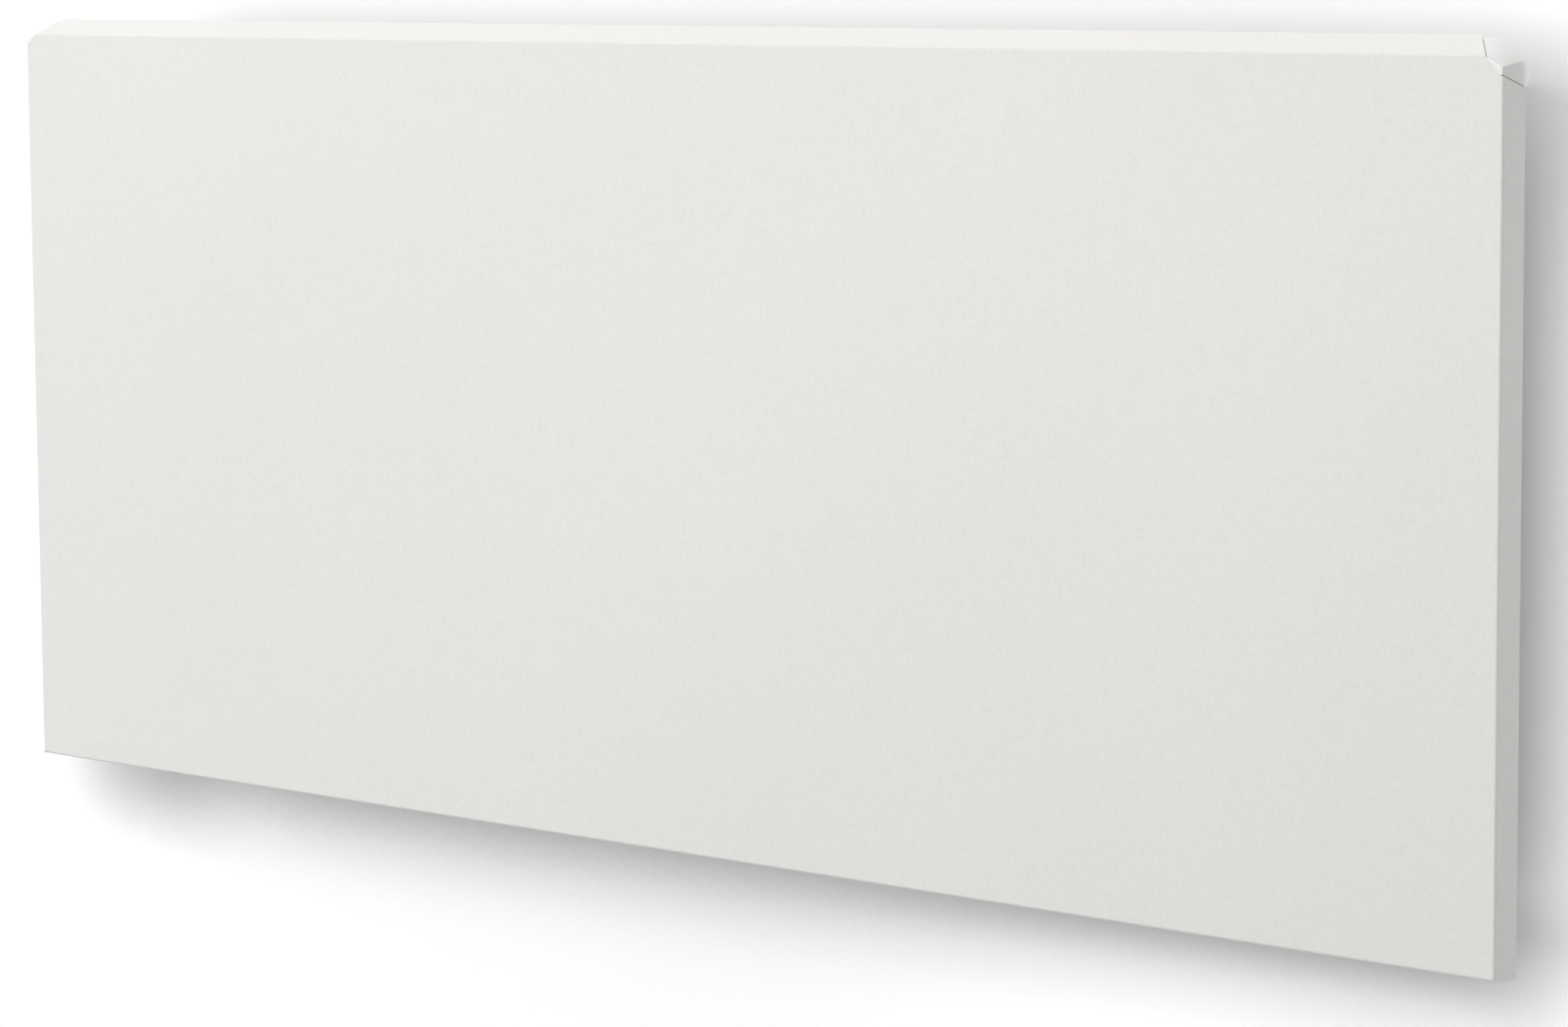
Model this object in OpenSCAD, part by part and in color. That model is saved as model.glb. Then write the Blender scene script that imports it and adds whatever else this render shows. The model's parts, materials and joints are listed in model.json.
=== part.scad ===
// Wall-hung panel heater: a folded steel front with moulded top corner caps, an inset
// convector casing behind it, and a wall bracket on which the whole heater tilts forward.
// Millimetres. Origin at the centre of the four wall-screw holes, on the wall plane (y = 0).
// The front faces -Y, +X is to the right of a person facing the heater, +Z is up.

/* [Front panel] */
// Width of the flat front face
face_w = 870; // [860:2:1000]
// Height of the flat front face
face_h = 364; // [360:1:380]
// Distance from the wall to the flat front face
depth = 84; // [84:0.5:90]
// Thickness of the panel sheet
sheet = 1; // [0.8:0.1:1.1]
// How far the rim runs back from the face
rim_run = 10; // [9:0.5:12]
// How far the top rim rises past the edge of the face
top_rise = 7; // [5:0.5:8]
// How far each side rim flares out past the edge of the face
side_flare = 3.5; // [3:0.5:6]
// Outside radius of the folds round the face
fold_r = 1.3; // [1.2:0.1:1.8]
// Depth of the lip that is turned in behind the rim
lip = 8; // [6:1:10]

/* [Corner caps] */
// Wall of the moulded caps
cap_wall = 1.6; // [1.2:0.1:2]
// Radius of a cap's dome at the face
cap_front_r = 10.5; // [8:0.5:11]
// Radius of a cap's dome at its back edge
cap_back_r = 22.5; // [18:0.5:23]
// Angle that the dome turns through before the crease above the side facet
cap_turn = 53; // [48:1:57]
// How far a cap reaches behind the steel rim
cap_skirt = 3; // [1:0.5:4]
// Length of a cap along each edge at the face
cap_front_leg = 8; // [7:0.5:10]
// Length of a cap along each edge at its back
cap_back_leg = 20; // [19:0.5:22]
// Seam between a cap and the steel rim
seam = 0.35; // [0.2:0.05:0.6]
// How far a cap stands below the top rim at its back
cap_drop = 0.7; // [0:0.1:1]

/* [Casing] */
// Distance from the wall to the back plate
wall_gap = 22; // [22:0.5:24]
// Width of the casing behind the front
casing_w = 788; // [788:2:800]
// Top edge of the back plate, above the origin
casing_top = 172; // [171:0.5:172]
// Bottom edge of the back plate, below the origin
casing_drop = 166; // [165:0.5:167]
// Sheet of the back plate
plate = 1; // [0.8:0.1:1.2]
// Sheet of the cheeks and brackets
cheek = 1.2; // [1:0.1:1.5]

/* [Grilles] */
// Thickness of the outlet grille
grille_t = 3; // [2.5:0.5:4]
// Width of one opening across the grille
grille_gap = 5.8; // [5:0.1:6]
// Number of rows of openings
grille_rows = 6; // [4:1:6]

/* [Heating element] */
// Radius of the sheathed rod
rod_r = 4; // [3.5:0.25:4.5]
// Reach of the fins from the axis of the rod
fin_reach = 19; // [14:1:20]
// Number of fins round the rod
fin_count = 6; // [4:1:8]

/* [Controls] */
// Radius of the push buttons
button_r = 4.5; // [3.5:0.25:4.75]
// Travel of the push buttons
button_travel = 1; // [0.6:0.1:1]
// Half of the angle that the rocker turns through
rocker_tilt = 8; // [6:1:9]

/* [Wall bracket] */
// Distance between the uprights, and between the wall screws
screw_dx = 500; // [480:5:520]
// Height between the wall screws
screw_dz = 220; // [210:5:230]
// Radius of the wall-screw holes
screw_hole_r = 2.75; // [2.5:0.25:3]
// Sheet of the bracket
bracket_t = 1.5; // [1.5:0.1:1.6]
// Radius of the pivot pins
pin_r = 3; // [2.5:0.25:3]
// Radial clearance of pins, rods and buttons in their holes
fit = 0.05; // [0.03:0.01:0.1]

/* [Hidden] */
$fn = 48;

steel_white = [0.91, 0.90, 0.88];
cap_white = [0.96, 0.96, 0.95];
casing_white = [0.86, 0.86, 0.84];
galvanised = [0.68, 0.70, 0.72];
bright_steel = [0.76, 0.77, 0.79];
aluminium = [0.80, 0.81, 0.83];
brass = [0.80, 0.66, 0.34];
ceramic = [0.93, 0.91, 0.86];
dark_plastic = [0.12, 0.12, 0.13];
grey_plastic = [0.78, 0.78, 0.77];
board_green = [0.10, 0.34, 0.20];

// Planes that the pieces share
face_y = -depth;
inner_y = face_y + sheet;
rim_y = face_y + rim_run;
edge_x = face_w / 2;
edge_z = face_h / 2;
plate_y = -wall_gap;
plate_in_y = plate_y - plate;
cheek_x = casing_w / 2;
cheek_in_x = cheek_x - cheek;
casing_bottom = -casing_drop;

// Folded flanges of the casing: the front ones turn back, the rear ones turn forward
shield_y = -73;
shield_t = 0.8;
front_flange_y = -62;
rear_flange_y = -34;
flange_w = 18;
grille_front_y = shield_y;
grille_edge = 3;
grille_bar = 2.4;
slot_l = 40;
slot_h = 4;
slot_pitch = 56;
slot_reach = 5 * slot_pitch;
slot_z = [-60, 100, 112];
grille_rear_y = plate_in_y;
grille_mid_y = (grille_front_y + grille_rear_y) / 2;
grille_top = casing_top + grille_t;

// Control and terminal bays, at the right-hand end
bay_x0 = 290;
bay_x1 = cheek_in_x - 0.4;
bay_wall = 1.8;
bay_inset = 4;
box_x0 = bay_x0 + bay_inset;
box_x1 = bay_x1 - bay_inset;
box_y0 = front_flange_y + 1;
box_y1 = rear_flange_y - 1;
mid_y = (box_y0 + box_y1) / 2;
housing_bottom = 130;
terminal_top = -115;
floor_t = 2.5;
floor_bottom = casing_bottom - floor_t;

board_z = 160;
board_t = 1.6;
button_x = [346, 359, 372];
button_rise = 1.4;
button_flange_r = button_r + 1.1;
switch_h = 3.1;
relay_z = 145;
board_screw_at = [for (x = [box_x0 + 6.5, box_x1 - 6.5], y = [box_y0 + 6.5, box_y1 - 6.5]) [x, y]];
rocker_w = 11;
rocker_r = 8.2;
trunnion_r = 1.2;
window = [30, 14];
window_x = 307;

switch_x = cheek_x;
switch_z = 61;
switch_bezel = [2, 15, 21];
switch_hole = [13.2, 19.2];
earth_z = -95;
switch_pivot_x = switch_x - 4.5;

gland_x = 340;
gland_shank_r = 6;
gland_bore_r = 3.75;
gland_collar = 3;
pole_x = [328, 340, 352];
block_top = -136;
wire_y = mid_y - 3;

element_y = -47.5;
element_z = -100;
element_x0 = -358;
element_x1 = 280;
fin_t = 1.6;
fin_tip = 7;
bush_r = 7;
arm_t = 1.5;
cutout_x = 292;
cutout_z = -62;

// Wall bracket and tilt hinge
post_x = screw_dx / 2;
post_w = 30;
post_d = 18;
pivot_y = -12;
pivot_z = -145;
post_top = 150;
post_foot = -12;
lug_x = 12;
lug_base = [-160, -125];
heel = [6, -11.4];
rail_z = 70;
rail_h = 26;
catch_z = 135;
stud_r = 3;
stud_l = 15;
peg_at = [for (x = [-7, 7], z = [-7, 7]) [x, z]];
rivet_y = -9;
socket_r = stud_r + 0.15;

// Screws and rivets
screw_r = 1.75;
rivet_r = 2;
head_r = 3.5;
head_t = 2.2;
nut_r = 4.04;
stud_z = [-130, 0, 130];
stud_x = cheek_x - 9;
rear_screw_z = [-150, 20, 155];
side_screw_z = [-110, 110];
side_screw_y = -65;
lug_rivet_at = [for (x = [-6, 6], z = [-155, -130]) [x, z]];

// ---------- helpers ----------

// Box between two opposite corners
module block(from, to) {
    translate(from) cube(to - from);
}

// Round bar along X, Y or Z from a point
module bar_x(p, r, l) {
    translate(p) rotate([0, 90, 0]) cylinder(r = r, h = l);
}
module bar_y(p, r, l) {
    translate(p) rotate([-90, 0, 0]) cylinder(r = r, h = l);
}
module bar_z(p, r, l) {
    translate(p) cylinder(r = r, h = l);
}

// The same shape on the left and on the right
module both_sides() {
    children();
    mirror([1, 0, 0]) children();
}

// A 2-D section drawn as [distance back, height], run along X between two stations
module run_x(x0, x1) {
    translate([x0, 0, 0]) rotate([90, 0, 90]) linear_extrude(x1 - x0) children();
}

// Pan-head screw whose head sits on the plane at p and whose shank points along +Z
module screw(shank) {
    translate([0, 0, -head_t]) cylinder(r1 = head_r - 0.8, r2 = head_r, h = head_t);
    cylinder(r = screw_r, h = shank);
}

// Single-core wire swept through a list of points: one ring of corners at each point
function unit(v) = v / norm(v);
function wire_ring(path, i, r, sides) =
    let (last = len(path) - 1,
        before = unit(path[max(i, 1)] - path[max(i, 1) - 1]),
        after = unit(path[min(i, last - 1) + 1] - path[min(i, last - 1)]),
        along = unit(before + after),
        across = unit(cross(along, [0.31, 1, 0.17])),
        over = cross(along, across))
    [for (k = [0 : sides - 1]) let (a = 360 * k / sides) path[i] + r * (cos(a) * across + sin(a) * over)];
module wire(path, r = 1.3, sides = 8) {
    last = len(path) - 1;
    polyhedron(
        points = [for (i = [0 : last]) each wire_ring(path, i, r, sides)],
        faces = concat(
            [[for (k = [0 : sides - 1]) k], [for (k = [sides - 1 : -1 : 0]) last * sides + k]],
            [for (i = [0 : last - 1], k = [0 : sides - 1], half = [0, 1])
                let (n = (k + 1) % sides, a = i * sides, b = a + sides)
                half == 0 ? [a + k, b + k, b + n] : [a + k, b + n, a + n]]));
}

// ---------- front panel ----------

// Angle of a rim that is tangent to the rounded fold and ends at [run, rise]
function rim_angle(run, rise) =
    let (d = [run - fold_r, rise + fold_r])
    atan2(d[1], d[0]) - asin(fold_r / norm(d));

// Arc of the fold, from the face round to the rim
function fold_arc(r, a, steps = 8) =
    [for (i = [0 : steps]) let (t = (90 - a) * i / steps) [fold_r - r * cos(t), r * sin(t) - fold_r]];

// Section of a folded edge: [distance back from the face, distance out from the face's edge]
function rim_section(run, rise) =
    let (a = rim_angle(run, rise),
        u = run - sheet,
        inner_r = fold_r - sheet,
        v = (inner_r + sin(a) * (u - fold_r)) / cos(a) - fold_r,
        inner = fold_arc(inner_r, a))
    concat(fold_arc(fold_r, a),
        [[run, rise], [run, rise - lip], [u, rise - lip], [u, v]],
        [for (i = [len(inner) - 1 : -1 : 0]) inner[i]]);

// Seam of a cap, measured from the face's edges, at a distance back from the face
function cap_leg(back, flare) =
    cap_front_leg + (cap_back_leg - flare - cap_front_leg) * back / rim_run;

// Outline of the flat sheet, with the top corners cut off where the caps begin
module face_outline(grow = 0) {
    w = edge_x - fold_r + grow;
    h = edge_z - fold_r + grow;
    cut = cap_front_leg + seam - fold_r + (2 - sqrt(2)) * grow;
    polygon([[-w, -h], [w, -h], [w, h - cut], [w - cut, h], [cut - w, h], [-w, h - cut]]);
}

module front_panel() color(steel_white) {
    translate([0, inner_y, 0]) rotate([90, 0, 0]) linear_extrude(sheet) face_outline();
    // top rim, mitred where the caps begin
    top_x = [for (b = [0, rim_run]) edge_x - cap_leg(b, side_flare) - seam];
    intersection() {
        translate([0, face_y, edge_z]) run_x(-edge_x, edge_x) polygon(rim_section(rim_run, top_rise));
        translate([0, face_y, 0]) linear_extrude(face_h)
            polygon([[-top_x[1], rim_run], [-top_x[0], 0], [top_x[0], 0], [top_x[1], rim_run]]);
    }
    // side rims, mitred in the same way
    side_z = [for (b = [0, rim_run]) edge_z - cap_leg(b, top_rise) - seam];
    both_sides() intersection() {
        translate([edge_x, face_y, -edge_z]) linear_extrude(face_h)
            mirror([1, 0]) rotate(90) polygon(rim_section(rim_run, side_flare));
        translate([0, face_y, 0]) run_x(0, face_w)
            polygon([[0, -edge_z], [0, side_z[0]], [rim_run, side_z[1]], [rim_run, -edge_z]]);
    }
    // straight bottom rim
    translate([0, face_y, -edge_z]) run_x(fold_r - edge_x, edge_x - fold_r)
        mirror([0, 1]) polygon(rim_section(rim_run, 0));
    // weld studs for the casing
    both_sides() for (z = stud_z) bar_y([stud_x, inner_y, z], 2, 7);
}

module panel_nuts() color(bright_steel)
    both_sides() for (z = stud_z) difference() {
        translate([stud_x, inner_y + cheek, z]) rotate([-90, 0, 0]) cylinder(r = nut_r, h = 3.2, $fn = 6);
        bar_y([stud_x, inner_y, z], 2 + fit, 8);
    }

// ---------- corner caps ----------

// One station of a cap: a thin slice of the corner at a distance back. Its dome turns through
// cap_turn from the level top and meets the upright side in a crease.
module cap_slice(back, x, z, r, reach = 30, steps = 14) {
    low = [edge_x - reach, edge_z - reach];
    dome = [for (i = [steps : -1 : 0]) let (a = cap_turn * i / steps)
        [x - r * (sin(cap_turn) - sin(a)), z - r * (1 - cos(a))]];
    translate([0, face_y + back, 0]) rotate([90, 0, 0]) linear_extrude(0.01)
        polygon(concat([low, [x, low[1]]], dome, [[low[0], z]]));
}

// Solid under the cap's outer skin, drawn in by a wall thickness
module cap_core(wall) {
    back_x = edge_x + side_flare - wall;
    back_z = edge_z + top_rise - cap_drop - wall;
    soft = fold_r * 0.3;
    hull() {
        cap_slice(wall, edge_x - wall - fold_r, edge_z - wall - fold_r, cap_front_r - fold_r);
        cap_slice(wall + soft, edge_x - wall - soft, edge_z - wall - soft, cap_front_r - soft);
        cap_slice(wall + fold_r, edge_x - wall, edge_z - wall, cap_front_r);
        cap_slice(rim_run, back_x, back_z, cap_back_r - wall);
        cap_slice(rim_run + cap_skirt + wall, back_x, back_z, cap_back_r - wall);
    }
}

module corner_cap() {
    back = rim_run + cap_skirt;
    seam_x = [for (b = [0, rim_run]) edge_x - cap_leg(b, side_flare)];
    seam_z = [for (b = [0, rim_run]) edge_z - cap_leg(b, top_rise)];
    intersection() {
        difference() {
            cap_core(0);
            cap_core(cap_wall);
            translate([0, inner_y + cap_wall, 0]) rotate([90, 0, 0])
                linear_extrude(2 * cap_wall) face_outline(seam / 2);
        }
        translate([0, face_y, 0]) linear_extrude(face_h) polygon([[seam_x[0], 0], [face_w, 0],
            [face_w, back], [seam_x[1], back], [seam_x[1], rim_run]]);
        translate([0, face_y, 0]) run_x(0, face_w) polygon([[0, seam_z[0]], [0, face_h],
            [back, face_h], [back, seam_z[1]], [rim_run, seam_z[1]]]);
    }
    // web across the corner and tongue that clips behind the sheet
    block([edge_x - cap_front_leg, inner_y, edge_z - cap_front_leg],
        [edge_x - 1, inner_y + cap_wall, edge_z - 1]);
    block([edge_x - 24, inner_y, edge_z - 12],
        [edge_x - cap_front_leg + 0.5, inner_y + cap_wall, edge_z - 3.5]);
}
module corner_cap_right() color(cap_white) corner_cap();
module corner_cap_left() color(cap_white) mirror([1, 0, 0]) corner_cap();

// ---------- casing ----------

module back_plate() color(casing_white) difference() {
    union() {
        block([-cheek_x, plate_in_y, casing_bottom], [cheek_x, plate_y, casing_top]);
        for (z = [casing_bottom, casing_top - plate])
            block([-cheek_x, rear_flange_y, z], [cheek_x, plate_in_y, z + plate]);
    }
    // rows of air slots
    for (z = slot_z, x = [-slot_reach : slot_pitch : slot_reach])
        translate([x, plate_y, z]) rotate([90, 0, 0]) linear_extrude(3 * plate, center = true) {
            square([slot_l, slot_h], center = true);
            for (s = [-1, 1]) translate([s * slot_l / 2, 0]) circle(d = slot_h, $fn = 24);
        }
    both_sides() {
        for (z = rear_screw_z) bar_y([stud_x, plate_in_y - 1, z], screw_r + fit, 4);
        bar_y([post_x, plate_in_y - 1, catch_z], stud_r + fit, 4);
        for (p = lug_rivet_at) bar_y([post_x + p[0], plate_in_y - 1, p[1]], rivet_r + fit, 4);
    }
}

// Folded end cheek: front flange on the panel, rear flange on the back plate
module end_cheek() difference() {
    translate([0, 0, casing_bottom]) linear_extrude(casing_top - casing_bottom) polygon([
        [cheek_x, inner_y], [cheek_x, plate_in_y], [cheek_x - flange_w, plate_in_y],
        [cheek_x - flange_w, plate_in_y - cheek], [cheek_in_x, plate_in_y - cheek],
        [cheek_in_x, inner_y + cheek], [cheek_x - flange_w, inner_y + cheek],
        [cheek_x - flange_w, inner_y]]);
    // notches that let the flanges of the back plate and the heat shield past
    for (z = [[casing_bottom - 1, casing_bottom + 1.5], [casing_top - 1.5, casing_top + 1]])
        block([cheek_x - flange_w - 1, rear_flange_y - 0.3, z[0]], [cheek_x + 1, plate_in_y + 1, z[1]]);
    for (z = stud_z) bar_y([stud_x, inner_y - 1, z], 2 + fit, 4);
    for (z = rear_screw_z) bar_y([stud_x, plate_in_y - 3, z], screw_r + fit, 5);
    for (z = side_screw_z) bar_x([cheek_in_x - 1, side_screw_y, z], screw_r + fit, 4);
}
module end_cheek_left() color(casing_white) mirror([1, 0, 0]) end_cheek();
module end_cheek_right() color(casing_white) difference() {
    end_cheek();
    block([cheek_in_x - 1, mid_y - switch_hole[0] / 2, switch_z - switch_hole[1] / 2],
        [cheek_x + 1, mid_y + switch_hole[0] / 2, switch_z + switch_hole[1] / 2]);
    bar_x([cheek_in_x - 1, mid_y, earth_z], 2 + fit, 4);
}

// Bright screen between the element and the front, with side tabs and flanges that turn back
module heat_shield() color(bright_steel) difference() {
    union() {
        block([-cheek_in_x, shield_y, casing_bottom], [cheek_in_x, shield_y + shield_t, casing_top]);
        for (z = [casing_bottom, casing_top - shield_t])
            block([-cheek_in_x, shield_y, z], [cheek_in_x, front_flange_y, z + shield_t]);
        both_sides() block([cheek_in_x - shield_t, shield_y, -130], [cheek_in_x, -58, 40]);
        both_sides() block([cheek_in_x - shield_t, shield_y, 80], [cheek_in_x, -58, 125]);
    }
    both_sides() for (z = side_screw_z)
        bar_x([cheek_in_x - 2, side_screw_y, z], screw_r + fit, 4);
    // long stiffening bead is left open at its ends as vents
    for (z = [-40, 40]) for (x = [-300 : 100 : 300])
        block([x - 30, shield_y - 1, z - 2], [x + 30, shield_y + 2, z + 2]);
}

// Flat grating: a frame with rows of long openings
module grating(x0, x1, t, columns) {
    pitch_y = (grille_rear_y - grille_front_y - 2 * grille_edge + grille_bar) / grille_rows;
    pitch_x = (x1 - x0 - 2 * grille_edge + grille_bar) / columns;
    linear_extrude(t) difference() {
        translate([x0, grille_front_y]) square([x1 - x0, grille_rear_y - grille_front_y]);
        for (i = [0 : columns - 1], j = [0 : grille_rows - 1])
            translate([x0 + grille_edge + i * pitch_x, grille_front_y + grille_edge + j * pitch_y])
                square([pitch_x - grille_bar, min(grille_gap, pitch_y - 1)]);
    }
}

module outlet_grille() color(casing_white) translate([0, 0, casing_top])
    grating(-cheek_in_x, bay_x0 - 0.4, grille_t, 8);

module inlet_guard() color(casing_white) translate([0, 0, floor_bottom])
    grating(-cheek_in_x, bay_x0 - 0.4, floor_t, 16);

// Pan-head screws through the back plate and through the cheeks
module casing_screws() color(bright_steel) both_sides() {
    for (z = rear_screw_z) translate([stud_x, plate_y, z]) rotate([90, 0, 0]) screw(8);
    for (z = side_screw_z) translate([cheek_x, side_screw_y, z]) rotate([0, -90, 0]) screw(7);
}

// ---------- heating element ----------

// Finned aluminium extrusion round the sheathed rod
module heating_element() color(aluminium)
    translate([0, element_y, element_z]) run_x(element_x0, element_x1) difference() {
        union() {
            circle(rod_r + 3);
            for (i = [0 : fin_count - 1]) rotate(30 + i * 360 / fin_count) {
                translate([rod_r + 1, -fin_t / 2]) square([fin_reach - rod_r - 1, fin_t]);
                translate([fin_reach - fin_t, -fin_tip / 2]) square([fin_t, fin_tip]);
            }
        }
        circle(rod_r + fit);
    }

// Sheathed rod with both terminal pins at its right-hand end
module element_rod() color(bright_steel) {
    bar_x([element_x0 - 14, element_y, element_z], rod_r, element_x1 - element_x0 + 28);
    for (s = [-1, 1]) bar_x([element_x1 + 14, element_y, element_z + s * 2], 0.8, 8);
}

// Hanger folded from sheet: a foot on the back plate and an arm with a hole for the bush
module hanger(x) difference() {
    union() {
        block([x, -62, element_z - 26], [x + arm_t, plate_in_y, element_z + 26]);
        block([x - 14, plate_in_y - arm_t, element_z - 26], [x + arm_t, plate_in_y, element_z + 26]);
    }
    bar_x([x - 1, element_y, element_z], bush_r + fit, arm_t + 2);
}
module element_bracket_left() color(galvanised) mirror([1, 0, 0]) hanger(-element_x0 + 6);
module element_bracket_right() color(galvanised) hanger(element_x1 + 6);

// Ceramic bushes that carry the rod in the hangers
module element_bushes() color(ceramic)
    for (b = [[element_x0 - 6 - arm_t, -1], [element_x1 + 6 + arm_t, 1]])
        translate([b[0], element_y, element_z]) rotate([0, b[1] * 90, 0]) difference() {
            union() {
                cylinder(r = bush_r + 2.5, h = 3);
                translate([0, 0, -arm_t - 3]) cylinder(r = bush_r, h = arm_t + 4);
            }
            translate([0, 0, -10]) cylinder(r = rod_r + fit, h = 20);
        }

// Bracket and disc thermostat that watch the air just above the element
module cutout_bracket() color(galvanised) difference() {
    union() {
        block([cutout_x, -60, cutout_z - 12], [cutout_x + arm_t, plate_in_y, cutout_z + 12]);
        block([cutout_x - 12, plate_in_y - arm_t, cutout_z - 12],
            [cutout_x + arm_t, plate_in_y, cutout_z + 12]);
    }
    bar_x([cutout_x - 1, element_y, cutout_z], 5 + fit, arm_t + 2);
}
module thermal_cutout() color(dark_plastic) {
    bar_x([cutout_x - 4, element_y, cutout_z], 8, 4);
    bar_x([cutout_x - 1, element_y, cutout_z], 5, arm_t + 5);
    for (s = [-1, 1])
        block([cutout_x + 5, element_y + s * 3 - 0.4, cutout_z - 2],
            [cutout_x + 12, element_y + s * 3 + 0.4, cutout_z + 2]);
}

// ---------- controls ----------

module control_housing() color(grey_plastic) difference() {
    union() {
        block([bay_x0, grille_front_y, casing_top], [bay_x1, grille_rear_y, grille_top]);
        difference() {
            block([box_x0, box_y0, housing_bottom], [box_x1, box_y1, casing_top]);
            block([box_x0 + bay_wall, box_y0 + bay_wall, housing_bottom - 1],
                [box_x1 - bay_wall, box_y1 - bay_wall, casing_top]);
        }
        for (p = board_screw_at) bar_z([p[0], p[1], board_z + board_t], head_r, casing_top - board_z - board_t);
    }
    block([window_x, mid_y - window[1] / 2, casing_top - 1],
        [window_x + window[0], mid_y + window[1] / 2, grille_top + 1]);
    for (x = button_x) bar_z([x, mid_y, casing_top - 1], button_r + 2 * fit, grille_t + 2);
    for (p = board_screw_at) bar_z([p[0], p[1], board_z], screw_r + fit, 9);
}

// Circuit board with its relay, transformer, capacitor and the three push switches
module control_board() color(board_green) {
    difference() {
        block([box_x0 + bay_wall + 0.5, box_y0 + bay_wall + 0.5, board_z],
            [box_x1 - bay_wall - 0.5, box_y1 - bay_wall - 0.5, board_z + board_t]);
        for (p = board_screw_at) bar_z([p[0], p[1], board_z - 1], screw_r + fit, board_t + 2);
    }
    block([345, mid_y - 6, relay_z], [361, mid_y + 6, board_z]);
    block([318, mid_y - 9, relay_z], [340, mid_y + 9, board_z]);
    bar_z([368, mid_y, board_z - 12], 4, 12);
    for (x = button_x) {
        block([x - 3, mid_y - 3, board_z + board_t], [x + 3, mid_y + 3, board_z + board_t + 2.5]);
        bar_z([x, mid_y, board_z + board_t + 2.5], 1.5, switch_h - 2.5);
    }
}

module board_screws() color(bright_steel)
    for (p = board_screw_at) translate([p[0], p[1], board_z]) screw(7);

module display_module() color(dark_plastic)
    block([window_x + 1, mid_y - window[1] / 2 + 1, board_z + board_t],
        [window_x + window[0] - 1, mid_y + window[1] / 2 - 1, casing_top - 1]);

// Smoked window with a rim that holds it under the housing's top
module display_lens() color(dark_plastic) {
    block([window_x + fit, mid_y - window[1] / 2 + fit, casing_top - 1],
        [window_x + window[0] - fit, mid_y + window[1] / 2 - fit, grille_top + 0.2]);
    block([window_x - 1.5, mid_y - window[1] / 2 - 1.5, casing_top - 1],
        [window_x + window[0] + 1.5, mid_y + window[1] / 2 + 1.5, casing_top]);
}

// Push button with a flange under the housing's top and a stem over its switch
module push_button(x) translate([x, mid_y, 0]) {
    bar_z([0, 0, casing_top - 2], button_r, grille_t + 2 + button_rise);
    bar_z([0, 0, casing_top - 2], button_flange_r, 1.9);
    stem_z = board_z + board_t + switch_h + button_travel + 0.1;
    bar_z([0, 0, stem_z], 1.2, casing_top - 2 - stem_z);
}
module button_minus() color(cap_white) push_button(button_x[0]);
module button_plus() color(cap_white) push_button(button_x[1]);
module button_mode() color(cap_white) push_button(button_x[2]);

// Mains switch set into the right-hand cheek
module switch_body() color(dark_plastic) difference() {
    union() {
        block([switch_x, mid_y - switch_bezel[1] / 2, switch_z - switch_bezel[2] / 2],
            [switch_x + switch_bezel[0], mid_y + switch_bezel[1] / 2, switch_z + switch_bezel[2] / 2]);
        block([switch_x - 16, mid_y - switch_hole[0] / 2 + 0.1, switch_z - switch_hole[1] / 2 + 0.1],
            [switch_x, mid_y + switch_hole[0] / 2 - 0.1, switch_z + switch_hole[1] / 2 - 0.1]);
        for (s = [-6, 6])
            block([switch_x - 24, mid_y - 1.5, switch_z + s - 0.4], [switch_x - 16, mid_y + 1.5, switch_z + s + 0.4]);
    }
    block([switch_pivot_x - 4.6, mid_y - rocker_w / 2 - 0.2, switch_z - rocker_r - 0.4],
        [switch_x + 9, mid_y + rocker_w / 2 + 0.2, switch_z + rocker_r + 0.4]);
    bar_y([switch_pivot_x, mid_y - 6.3, switch_z], trunnion_r + fit, 12.6);
}

// Rocker with concentric ends and a shallow V on top, resting with its upper half pressed in
module switch_rocker() color(dark_plastic)
    translate([switch_pivot_x, mid_y, switch_z]) rotate([0, -rocker_tilt, 0]) {
        rotate([90, 0, 0]) linear_extrude(rocker_w, center = true) intersection() {
            circle(rocker_r);
            polygon([[-2, -9], [-2, 9], [6.4, 9], [4, 0], [6.4, -9]]);
        }
        bar_y([0, -6.2, 0], trunnion_r, 12.4);
    }

// ---------- mains connection ----------

module terminal_box() color(grey_plastic) difference() {
    union() {
        block([bay_x0, grille_front_y, floor_bottom], [bay_x1, grille_rear_y, casing_bottom]);
        block([box_x0, box_y0, casing_bottom], [box_x1, box_y1, terminal_top]);
    }
    block([box_x0 + bay_wall, box_y0 + bay_wall, casing_bottom],
        [box_x1 - bay_wall, box_y1 - bay_wall, terminal_top + 1]);
    bar_z([gland_x, mid_y, floor_bottom - 1], gland_shank_r + fit, floor_t + 2);
}

module terminal_lid() color(grey_plastic) difference() {
    union() {
        block([box_x0, box_y0, terminal_top], [box_x1, box_y1, terminal_top + 2]);
        block([box_x0 + bay_wall + 0.1, box_y0 + bay_wall + 0.1, terminal_top - 2],
            [box_x1 - bay_wall - 0.1, box_y1 - bay_wall - 0.1, terminal_top]);
    }
    for (x = pole_x) bar_z([x, wire_y, terminal_top - 3], 1.8, 6);
}

// Three-pole block on two feet
module terminal_block() color(cap_white) {
    block([pole_x[0] - 6, mid_y - 6, block_top - 14], [pole_x[2] + 6, mid_y + 6, block_top]);
    for (x = [pole_x[0] - 6, pole_x[2] + 2])
        block([x, mid_y - 6, casing_bottom], [x + 4, mid_y + 6, block_top - 14]);
}
module terminal_clamps() color(brass)
    for (x = pole_x) bar_z([x, mid_y + 2.5, block_top], 2.2, 1.6);

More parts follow.
